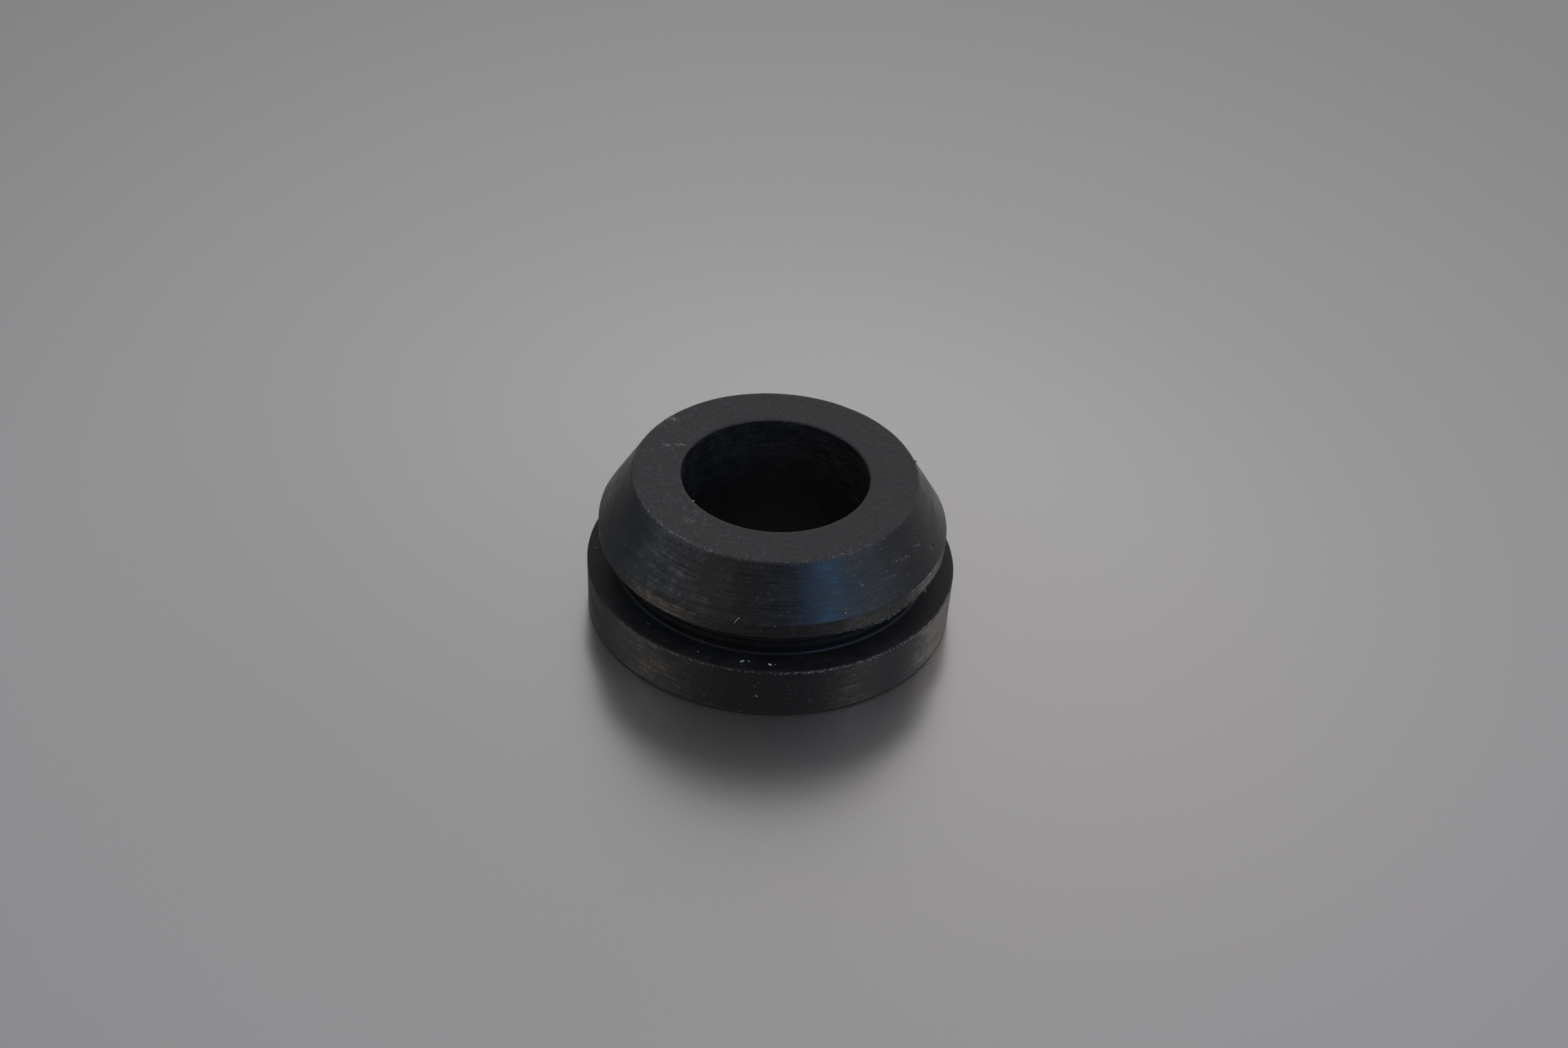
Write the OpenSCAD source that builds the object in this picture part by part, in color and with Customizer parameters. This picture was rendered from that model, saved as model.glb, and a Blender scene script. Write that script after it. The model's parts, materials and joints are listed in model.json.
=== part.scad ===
// Breather grommet: one moulded rubber ring that seals a tube in a round panel hole.
// A thick flange stays on the near face of the panel, the panel sits in the groove,
// and the tapered nose is pushed through the hole. Millimetres, +Z up, the flange's
// outer face on Z = 0 and the bore's axis on Z.

/* [Flange] */
// Diameter of the flange at its upper rim, where it is widest
flange_d = 37.7; // [36:0.1:44]
// Height of the flange, from its flat outer face to the groove
flange_t = 5.55; // [3.5:0.05:8]
// How far the flange wall draws in, per side, from its upper rim to its outer face
flange_draft = 0.2; // [0:0.05:0.5]
// Round on the flange's upper rim
flange_edge_r = 0.2; // [0.1:0.05:0.4]
// Round on the rim of the flange's outer face
foot_edge_r = 0.25; // [0.1:0.05:0.5]

/* [Panel groove] */
// Diameter at the bottom of the groove, the same as the hole in the panel
groove_d = 31.75; // [28:0.05:32.5]
// Width of the groove, from the flange to the nose
groove_w = 3.45; // [2:0.05:5]
// Fillet in both corners at the bottom of the groove
root_r = 0.3; // [0.2:0.05:0.8]

/* [Nose] */
// Widest diameter of the nose, at its cylindrical land
nose_d = 35.45; // [34.5:0.05:38.5]
// Height of the whole nose above the groove
nose_h = 6.95; // [5:0.05:10]
// Height of the cylindrical land at the bottom of the nose
land_h = 1.5; // [0.8:0.05:2.5]
// Diameter of the flat end of the nose
top_d = 29; // [26:0.1:32]
// Round on the nose's lower edge, which holds the panel
lip_edge_r = 0.15; // [0.1:0.05:0.3]
// Blend between the land and the taper
shoulder_r = 0.5; // [0.2:0.05:1]
// Round between the taper and the flat end
top_edge_r = 0.2; // [0.1:0.05:0.5]

/* [Bore] */
// Diameter of the straight bore that takes the tube
bore_d = 19.05; // [12:0.05:22]
// Round on the bore's two rims
bore_edge_r = 0.2; // [0.1:0.05:0.4]

/* [Hidden] */
$fn = 128;
flange_r = flange_d / 2;
foot_r = flange_r - flange_draft;
groove_r = groove_d / 2;
nose_r = nose_d / 2;
top_r = top_d / 2;
bore_r = bore_d / 2;
nose_z = flange_t + groove_w;
land_z = nose_z + land_h;
top_z = nose_z + nose_h;
rubber_black = [0.07, 0.07, 0.075];

// Corners of the turned section in order, each [radius, height, edge round];
// a negative round is a fillet in an inside corner.
SECTION = [
    [bore_r, 0, bore_edge_r],
    [foot_r, 0, foot_edge_r],
    [flange_r, flange_t, flange_edge_r],
    [groove_r, flange_t, -root_r],
    [groove_r, nose_z, -root_r],
    [nose_r, nose_z, lip_edge_r],
    [nose_r, land_z, shoulder_r],
    [top_r, top_z, top_edge_r],
    [bore_r, top_z, bore_edge_r],
];
CORNERS = len(SECTION);

function at(i) = [SECTION[i % CORNERS][0], SECTION[i % CORNERS][1]];
function unit(v) = v / norm(v);
// Directions from a corner to the corners before and after it
function back(i) = unit(at(i + CORNERS - 1) - at(i));
function on(i) = unit(at(i + 1) - at(i));
// Half of the angle between the two sides that meet at a corner
function half_angle(i) = acos(back(i) * on(i)) / 2;
function round_r(i) = abs(SECTION[i][2]);
// Distance from a corner to the points where its round touches the two sides
function reach(i) = round_r(i) / tan(half_angle(i));
// Centre of a corner's round
function centre(i) = at(i) + unit(back(i) + on(i)) * round_r(i) / sin(half_angle(i));

// Half of the grommet's cross-section: straight sides between the touching
// points, a disc added at each outside corner and one cut at each inside corner.
module half_section() {
    difference() {
        union() {
            polygon([
                for (i = [0 : CORNERS - 1])
                    for (side = [back(i), on(i)])
                        at(i) + side * reach(i)
            ]);
            for (i = [0 : CORNERS - 1])
                if (SECTION[i][2] > 0)
                    translate(centre(i))
                        circle(r = round_r(i));
        }
        for (i = [0 : CORNERS - 1])
            if (SECTION[i][2] < 0)
                translate(centre(i))
                    circle(r = round_r(i));
    }
}

module grommet() {
    color(rubber_black)
        rotate_extrude()
            half_section();
}

grommet();
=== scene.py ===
"""Breather grommet: a moulded black rubber ring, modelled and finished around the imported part.

Lengths are metres in the part's own frame. +Z runs along the bore, from the flange to the nose.
Azimuths are degrees about +Z: 0 faces the camera, which stands on the -Y side, and + is to its right.
"""

import json
import math
from typing import NamedTuple

import bmesh
import bpy
import numpy as np
from bpy.props import FloatProperty, FloatVectorProperty, IntProperty, PointerProperty
from mathutils import Matrix, Vector


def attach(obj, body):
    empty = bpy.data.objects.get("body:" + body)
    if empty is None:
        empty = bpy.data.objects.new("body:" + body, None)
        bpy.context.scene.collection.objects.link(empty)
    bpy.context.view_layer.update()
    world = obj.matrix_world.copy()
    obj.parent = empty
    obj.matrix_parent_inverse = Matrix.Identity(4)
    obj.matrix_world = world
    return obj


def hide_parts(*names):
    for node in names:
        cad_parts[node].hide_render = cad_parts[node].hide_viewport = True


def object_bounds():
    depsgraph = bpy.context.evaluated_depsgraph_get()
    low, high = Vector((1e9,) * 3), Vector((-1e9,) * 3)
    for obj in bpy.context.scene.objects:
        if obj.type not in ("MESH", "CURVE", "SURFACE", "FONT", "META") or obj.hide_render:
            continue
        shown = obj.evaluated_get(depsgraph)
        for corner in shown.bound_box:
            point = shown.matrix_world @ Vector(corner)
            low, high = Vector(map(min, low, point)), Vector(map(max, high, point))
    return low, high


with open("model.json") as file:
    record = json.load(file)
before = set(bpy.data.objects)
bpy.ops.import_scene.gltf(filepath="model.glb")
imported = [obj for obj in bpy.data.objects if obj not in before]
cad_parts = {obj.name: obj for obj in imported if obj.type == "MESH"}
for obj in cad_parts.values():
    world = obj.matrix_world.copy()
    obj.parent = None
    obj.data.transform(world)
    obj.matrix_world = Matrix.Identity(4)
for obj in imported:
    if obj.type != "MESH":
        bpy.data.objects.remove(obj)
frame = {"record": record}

bl_info = {
    "name": "Breather Grommet",
    "version": (1, 0, 0),
    "blender": (4, 5, 0),
    "location": "View3D > Sidebar > Grommet",
    "description": "Models a moulded rubber breather grommet and the studio it is shown in",
    "category": "Object",
}

MM = 0.001
CAD_LOW, CAD_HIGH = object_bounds()
MOUNTS = {mount["name"]: mount for mount in frame["record"]["mounts"]}
BORE = MOUNTS["tube_bore"]["dims"]
GROOVE = MOUNTS["panel_groove"]["dims"]
GROOVE_FOOT = MOUNTS["panel_groove"]["pos_m"][2] - GROOVE["length_mm"] * MM / 2

# The photograph's frame, in pixels, and the sensor that the lens is given for
PHOTO_W = 2346
PHOTO_H = 1568
SENSOR_W = 36.0

# Two places of the section closer than this are the same
TOUCH = 2e-6


def length(name, description, default):
    """A length that a user may change, in metres."""
    return FloatProperty(
        name=name, description=description, default=default, min=0.0, precision=5, unit="LENGTH"
    )


def angle(name, description, degrees):
    """An angle that a user may change, given in degrees."""
    return FloatProperty(
        name=name, description=description, default=math.radians(degrees), subtype="ANGLE"
    )


def colour(name, description, default):
    """A linear colour that a user may change."""
    return FloatVectorProperty(
        name=name, description=description, default=default, size=3, min=0.0, max=1.0, subtype="COLOR"
    )


class GrommetSizes(bpy.types.PropertyGroup):
    """Sizes of the ring's turned section; those that mate with other parts come from the frame."""

    flange_d: length("Flange diameter", "Diameter of the flange at its upper rim", 2 * CAD_HIGH.x)
    flange_t: length("Flange height", "From the flat outer face to the groove", GROOVE_FOOT)
    flange_draft: length("Flange draft", "How far the wall draws in towards the outer face", 0.2 * MM)
    groove_d: length("Groove diameter", "Diameter at the bottom of the groove", 2 * GROOVE["r_mm"] * MM)
    groove_w: length("Groove width", "From the flange to the nose", GROOVE["length_mm"] * MM)
    nose_d: length("Nose diameter", "Diameter of the land, where the nose is widest", 35.45 * MM)
    land_h: length("Land height", "Height of the cylindrical land", 1.5 * MM)
    end_d: length("End diameter", "Diameter of the flat end of the nose", 29.0 * MM)
    height: length("Height", "From the outer face to the flat end", CAD_HIGH.z)
    bore_d: length("Bore diameter", "Diameter of the straight bore", 2 * BORE["r_mm"] * MM)
    rim_round: length("Rim round", "Round on the flange's upper rim, the end and the bore", 0.2 * MM)
    foot_round: length("Foot round", "Round on the rim of the outer face", 0.25 * MM)
    root_fillet: length("Root fillet", "Fillet in the corners of the groove", 0.3 * MM)
    lip_round: length("Lip round", "Round on the nose's lower edge", 0.15 * MM)
    shoulder_round: length("Shoulder round", "Blend between the land and the taper", 0.5 * MM)
    facets: IntProperty(name="Facets", description="Steps around the ring", default=448, min=64)


class GrommetFinish(bpy.types.PropertyGroup):
    """Colours of the rubber and of what lies on it, and of the sheen painted with its film."""

    rubber: colour("Rubber", "Clean moulded rubber", (0.0065, 0.0065, 0.0072))
    # Film and grime are also the colours of the sheen painted in arcs on the taper, the land and the flange
    # wall
    film: colour("Film", "Pale powdery film of fresh rubber", (0.135, 0.135, 0.133))
    grime: colour("Grime", "Brownish film of handling", (0.270, 0.236, 0.180))
    speck: colour("Speck", "Grains of dust", (0.22, 0.21, 0.19))
    # The scuff colour also paints the highlight on the right of the lip
    scuff: colour("Scuff", "Rubber where an edge is worn", (0.19, 0.183, 0.172))
    lint: colour("Lint", "White lint", (0.80, 0.80, 0.79))


class GrommetStage(bpy.types.PropertyGroup):
    """The camera, and the floor's colour and gloss."""

    pitch: angle("Pitch", "How far the camera looks down", 36.78)
    roll: angle("Roll", "How far the camera leans", 3.49)
    distance: length("Distance", "From the camera to the part's origin, along its view", 314.1 * MM)
    lens: FloatProperty(name="Lens", description="Focal length on a 36 mm sensor, in mm", default=69.4)
    origin_u: FloatProperty(name="Origin across", description="Photo pixel of the origin", default=1149.5)
    origin_v: FloatProperty(name="Origin down", description="Photo pixel of the origin", default=895.7)
    floor: colour("Floor", "Pale satin floor", (0.64, 0.63, 0.615))
    floor_roughness: FloatProperty(name="Floor roughness", description="How satin it is", default=0.26)


class Corner(NamedTuple):
    """One corner of the turned section, before it is rounded."""

    radius: float
    height: float
    round: float


class Band(NamedTuple):
    """The straight stretch of the section from one corner to the next, with its mesh size and finish."""

    start: str
    end: str
    cell: float
    finish: str


BANDS = {
    "foot_face": Band("bore_foot", "foot_rim", 0.8 * MM, "end"),
    "flange_wall": Band("foot_rim", "flange_rim", 0.26 * MM, "wall"),
    "shelf": Band("flange_rim", "groove_foot", 0.3 * MM, "shelf"),
    "groove_wall": Band("groove_foot", "groove_roof", 0.16 * MM, "groove"),
    "nose_underside": Band("groove_roof", "lip", 0.4 * MM, "shelf"),
    "land": Band("lip", "shoulder", 0.16 * MM, "land"),
    "taper": Band("shoulder", "end_rim", 0.22 * MM, "taper"),
    "end_face": Band("end_rim", "bore_mouth", 0.26 * MM, "end"),
    "bore": Band("bore_mouth", "bore_foot", 0.5 * MM, "bore"),
}
ROUND_STEPS = 4


def section(sizes):
    """The corners of the turned section in order, from the bore's lower rim round to its upper one."""
    groove_top = sizes.flange_t + sizes.groove_w
    bore_r = sizes.bore_d / 2
    flange_r = sizes.flange_d / 2
    groove_r = sizes.groove_d / 2
    nose_r = sizes.nose_d / 2
    return {
        "bore_foot": Corner(bore_r, 0.0, sizes.rim_round),
        "foot_rim": Corner(flange_r - sizes.flange_draft, 0.0, sizes.foot_round),
        "flange_rim": Corner(flange_r, sizes.flange_t, sizes.rim_round),
        "groove_foot": Corner(groove_r, sizes.flange_t, sizes.root_fillet),
        "groove_roof": Corner(groove_r, groove_top, sizes.root_fillet),
        "lip": Corner(nose_r, groove_top, sizes.lip_round),
        "shoulder": Corner(nose_r, groove_top + sizes.land_h, sizes.shoulder_round),
        "end_rim": Corner(sizes.end_d / 2, sizes.height, sizes.rim_round),
        "bore_mouth": Corner(bore_r, sizes.height, sizes.rim_round),
    }


def flat(corner):
    """A corner's place in the plane of the section."""
    return Vector((corner.radius, corner.height))


def reach(before, corner, after):
    """How far from its corner a round touches the two sides."""
    back = (flat(before) - flat(corner)).normalized()
    onward = (flat(after) - flat(corner)).normalized()
    return corner.round / math.tan(back.angle(onward) / 2)


def start_piece(name, add, **settings):
    """Adds a primitive, alone in the selection, and names it."""
    bpy.ops.object.select_all(action="DESELECT")
    add(**settings)
    piece = bpy.context.object
    piece.name = name
    piece.data.name = name
    return piece


def select_edges(piece, wanted):
    """Selects the edges of the mesh in edit mode whose two ends, as (radius, height), pass the test."""
    bm = bmesh.from_edit_mesh(piece.data)
    bm.select_mode = {"EDGE"}
    for edge in bm.edges:
        ends = [Vector((math.hypot(v.co.x, v.co.y), v.co.z)) for v in edge.verts]
        edge.select_set(wanted(*ends))
    bm.select_flush_mode()
    bmesh.update_edit_mesh(piece.data)


def near(point):
    """A test for the ring of edges at one place of the section."""
    return lambda a, b: (a - point).length < TOUCH and (b - point).length < TOUCH


def along(start, end):
    """A test for the edges that run along a straight stretch of the section."""
    way = (end - start).normalized()
    limit = (end - start).length + TOUCH

    def on_line(p):
        step = p - start
        return abs(step.x * way.y - step.y * way.x) < TOUCH and -TOUCH < step.dot(way) < limit

    return lambda a, b: (a - b).length > TOUCH and on_line(a) and on_line(b)


def extrude_ring(here, there):
    """Extrudes the selected ring of edges from one (radius, height) to the next."""
    bpy.ops.mesh.extrude_edges_move(TRANSFORM_OT_translate={"value": (0, 0, there[1] - here[1])})
    grow = there[0] / here[0]
    bpy.ops.transform.resize(value=(grow, grow, 1), center_override=(0, 0, there[1]))


def read_points(items, field):
    """One vector per vertex or face, as an array."""
    numbers = np.empty(len(items) * 3)
    items.foreach_get(field, numbers)
    return numbers.reshape(-1, 3)


def azimuths(xyz):
    """Azimuth of each point, in degrees."""
    return np.degrees(np.arctan2(xyz[:, 0], -xyz[:, 1]))


def arc(azimuth, middle, half):
    """1 at an azimuth, falling off as a bell whose width is given."""
    off = (azimuth - middle + 180.0) % 360.0 - 180.0
    return np.exp(-((off / half) ** 2))


def place_of(azimuth, radius, height):
    """The point at an azimuth in degrees, with radius and height in millimetres."""
    turn = math.radians(azimuth)
    return Vector((math.sin(turn) * radius, -math.cos(turn) * radius, height)) * MM


def weigh(piece, name, weights):
    """Adds a vertex group with a weight for each point, in steps of a hundredth."""
    group = piece.vertex_groups.new(name=name)
    steps = np.round(np.clip(weights, 0.0, 1.0) * 100).astype(int)
    for step in np.unique(steps[steps > 0]):
        group.add(np.flatnonzero(steps == step).tolist(), step / 100, "REPLACE")


class Uneven(NamedTuple):
    """A cloudy unevenness: its depth, its grain and the level of the cloud that stays in place."""

    depth: float
    grain: float
    level: float = 0.5


def displace(piece, group, depth, grain=None, level=0.5, direction="NORMAL"):
    """Moves a group's points, evenly or by a cloudy unevenness, and applies it."""
    bpy.ops.object.modifier_add(type="DISPLACE")
    modifier = piece.modifiers[-1]
    if grain:
        pattern = bpy.data.textures.new(f"{piece.name}_{group}", type="CLOUDS")
        pattern.noise_scale = grain
        pattern.noise_depth = 2
        modifier.texture = pattern
        modifier.texture_coords = "LOCAL"
    modifier.vertex_group = group
    modifier.direction = direction
    modifier.strength = depth
    modifier.mid_level = level
    bpy.ops.object.modifier_apply(modifier=modifier.name)


def note(piece, name, values):
    """Keeps one number per point on the mesh, for the finish to read."""
    attribute = piece.data.attributes.new(name, "FLOAT", "POINT")
    attribute.data.foreach_set("value", np.clip(values, 0.0, 1.0).astype(np.float32))


class Cover(NamedTuple):
    """How much of something lies on a surface: all round, and in arcs of (azimuth, half width, more)."""

    everywhere: float
    arcs: tuple = ()

    def at(self, azimuth):
        return self.everywhere + sum(more * arc(azimuth, middle, half) for middle, half, more in self.arcs)


# The pale film that lies on each band of the section; its arcs on the taper, the land and the flange wall are
# partly real film and partly painted sheen
FILM_AND_SHEEN = {
    "foot_face": Cover(0.11),
    "flange_wall": Cover(
        0.0, ((-40.0, 15.0, 0.33), (30.0, 9.0, 0.19), (68.0, 12.0, 1.10), (150.0, 50.0, 0.16))
    ),
    "shelf": Cover(0.046),
    "groove_wall": Cover(0.017),
    "nose_underside": Cover(0.017),
    "land": Cover(
        0.008,
        (
            (-38.0, 15.0, 0.46),
            (-12.0, 10.0, 0.03),
            (36.0, 14.0, 0.21),
            (66.0, 10.0, 0.78),
            (170.0, 50.0, 0.10),
        ),
    ),
    "taper": Cover(0.028, ((-37.0, 15.0, 0.31), (-10.0, 12.0, 0.035), (32.0, 12.0, 0.12))),
    "end_face": Cover(0.172, ((-60.0, 40.0, 0.045), (-120.0, 20.0, 0.03))),
    "bore": Cover(0.012),
}

# The bore is paler towards its mouth: the heights where this starts and is full, in millimetres, and how much
MOUTH_FOOT = 8.0
MOUTH_FULL = 12.5
MOUTH_PALING = 0.065

# Grains of dust, on each band
DUST = {
    "foot_face": Cover(0.20),
    "flange_wall": Cover(0.22, ((-20.0, 25.0, 0.12),)),
    "shelf": Cover(0.10),
    "groove_wall": Cover(0.03),
    "nose_underside": Cover(0.03),
    "land": Cover(0.32),
    "taper": Cover(0.12, ((-30.0, 20.0, 0.10), (48.0, 30.0, 0.16))),
    "end_face": Cover(0.20, ((-62.0, 34.0, 0.58), (-115.0, 30.0, 0.26))),
    "bore": Cover(0.02),
}

# Wear along the edges, each with the distance that it reaches; on the lip it is partly a painted highlight
WEAR_AND_HIGHLIGHT = {
    "end_rim": (0.40 * MM, Cover(0.18, ((-42.0, 22.0, 0.55), (25.0, 30.0, 0.35), (-120.0, 12.0, 0.4)))),
    "flange_rim": (0.22 * MM, Cover(0.24, ((32.0, 34.0, 0.85), (-22.0, 18.0, 0.38)))),
    # The lip's arc at 74 degrees is partly real wear and partly a painted highlight on the round of the lip
    "lip": (0.22 * MM, Cover(0.30, ((48.0, 22.0, 0.60), (74.0, 14.0, 0.90), (-35.0, 20.0, 0.25)))),
    "bore_mouth": (0.16 * MM, Cover(0.12, ((-70.0, 20.0, 0.50), (-20.0, 25.0, 0.35)))),
    "foot_rim": (0.30 * MM, Cover(0.12, ((45.0, 30.0, 0.25),))),
}


class Scuff(NamedTuple):
    """A worn patch on the flat end: its middle and half sizes, in millimetres, and its strength."""

    x: float
    y: float
    half_x: float
    half_y: float
    strength: float


# How far below the flat end its scuffs still reach
SCUFF_DEPTH = 0.15 * MM
SCUFFS = (
    Scuff(-9.9, 4.2, 0.50, 0.20, 2.0),
    Scuff(-11.3, 4.0, 0.40, 0.22, 1.4),
    Scuff(-10.8, 8.6, 0.70, 0.45, 0.9),
    Scuff(-8.2, -8.6, 1.5, 0.8, 0.5),
)


class Scratch(NamedTuple):
    """A pale scratch from one (azimuth, radius, height) to another, with its half width and strength."""

    start: tuple
    end: tuple
    half_width: float
    strength: float


SCRATCHES = (
    Scratch((48.6, 15.85, 13.67), (58.5, 16.15, 13.16), 0.17 * MM, 0.9),
    Scratch((62.2, 15.92, 13.54), (66.4, 16.11, 13.23), 0.17 * MM, 0.9),
    Scratch((72.8, 16.70, 12.23), (71.4, 17.07, 11.61), 0.17 * MM, 0.8),
    Scratch((42.1, 16.40, 12.74), (48.8, 16.53, 12.52), 0.15 * MM, 0.7),
)


def gap_to(points, start, end):
    """How far each point is from the straight line between two places."""
    way = end - start
    share = np.clip(((points - start) @ way) / (way @ way), 0, 1)
    return np.linalg.norm(points - start - share[:, None] * way, axis=1)


def band_of(spots, corners):
    """Which band of the section each (radius, height) lies on."""
    best = np.full(len(spots), np.inf)
    index = np.zeros(len(spots), dtype=np.int32)
    for number, band in enumerate(BANDS.values()):
        gap = gap_to(spots, np.array(flat(corners[band.start])), np.array(flat(corners[band.end])))
        index[gap < best] = number
        best = np.minimum(best, gap)
    return index


def turned(xyz):
    """Each point as (radius, height)."""
    return np.stack([np.hypot(xyz[:, 0], xyz[:, 1]), xyz[:, 2]], 1)


def edge_wear_and_highlight(xyz, corners):
    """How worn each point is, along the edges, in the scuffs of the flat end and in the scratches, with a
    painted highlight on the right of the lip.
    """
    azimuth = azimuths(xyz)
    spots = turned(xyz)
    total = np.zeros(len(xyz))
    for name, (width, cover) in WEAR_AND_HIGHLIGHT.items():
        gap = np.linalg.norm(spots - np.array(flat(corners[name])), axis=1)
        total = np.maximum(total, cover.at(azimuth) * np.exp(-((gap / width) ** 2)))
    on_end = spots[:, 1] > corners["end_rim"].height - SCUFF_DEPTH
    for scuff in SCUFFS:
        off_x = (xyz[:, 0] / MM - scuff.x) / scuff.half_x
        off_y = (xyz[:, 1] / MM - scuff.y) / scuff.half_y
        total = np.maximum(total, scuff.strength * np.exp(-(off_x**2) - off_y**2) * on_end)
    for scratch in SCRATCHES:
        gap = gap_to(xyz, np.array(place_of(*scratch.start)), np.array(place_of(*scratch.end)))
        total = np.maximum(total, scratch.strength * np.exp(-((gap / scratch.half_width) ** 2)))
    return total


class Pattern(NamedTuple):
    """A cloudy noise: its scale, detail and roughness, and the levels that count as 0 and 1."""

    scale: tuple
    detail: float
    roughness: float
    low: float = 0.0
    high: float = 1.0


# Patterns on the surface itself: patches and powder of the film, the mould's grain, clumps of dust, and
# the crumbs of a worn edge
PATCHES = Pattern((0.5, 0.5, 0.5), 4.0, 0.60, 0.32, 0.68)
POWDER = Pattern((2.0, 2.0, 2.0), 5.0, 0.75, 0.40, 0.64)
GRAIN = Pattern((6.0, 6.0, 6.0), 3.0, 0.60)
CLUMPS = Pattern((1.0, 1.0, 1.0), 4.0, 0.70, 0.42, 0.70)
CRUMBS = Pattern((4.5, 4.5, 4.5), 3.0, 0.75, 0.60, 0.72)

# Patterns on lines round the ring, scaled by direction twice and then across: fine hairs, broader lines,
# and short scratches. The direction slides from line to line, so that no bars stand across them.
HAIRS = Pattern((3.6, 3.6, 7.0), 3.0, 0.65)
LINES = Pattern((2.6, 2.6, 2.6), 3.0, 0.70)
FINE_SCRATCHES = Pattern((9.0, 9.0, 6.0), 2.0, 0.50, 0.68, 0.80)
LINE_SLIDE = (0.9, -0.6)

# How the lines are made: the share of broad lines in them, the levels that count as bare and as brushed,
# and how much weaker they are between the patches
LINE_SHARE = 0.35
BARE, BRUSHED = 0.42, 0.60
LINE_FADE = 0.4

# How the film, with the sheen painted in it, lies: the usual level of its patches and its powder, how much of
# it is lost between the lines, and how much more than there lies on them
PATCH_USUAL = 0.6
POWDER_USUAL = 0.5
OFF_LINES = 0.8
ON_LINES = 2.2

# How dense the dust is between the clumps and in them, how much of a grain's radius is full, and the
# strength of the faintest grain
CLUMP_LEAST, CLUMP_MOST = 0.1, 2.6
GRAIN_CORE = 0.45
FAINTEST_GRAIN = 0.2

# How much wear adds to the crumbs, at what wear they are full, and the strength of the short scratches
CRUMB_GAIN = 0.18
WORN_THROUGH = 0.6
SCRATCH_STRENGTH = 0.4

# What the patches and the film, with its painted sheen, add to the roughness
PATCH_ROUGHNESS = 0.10
FILM_ROUGHNESS = 0.2

# Height of the broad lines against the hairs, height of crumbs and dust, and the depth of the whole relief
LINE_RELIEF = 1.6
MARK_RELIEF = 0.9
BUMP_STRENGTH = 0.6
BUMP_DEPTH = 0.02 * MM


class Grains(NamedTuple):
    """Grains of dust: cells per millimetre, the share that hold one, its radius in cells and its strength."""

    density: float
    share: float
    smallest: float
    largest: float
    strength: float


FINE_GRAINS = Grains(density=4.0, share=1.2, smallest=0.10, largest=0.42, strength=0.6)
COARSE_GRAINS = Grains(density=1.1, share=0.20, smallest=0.06, largest=0.14, strength=1.0)


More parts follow.
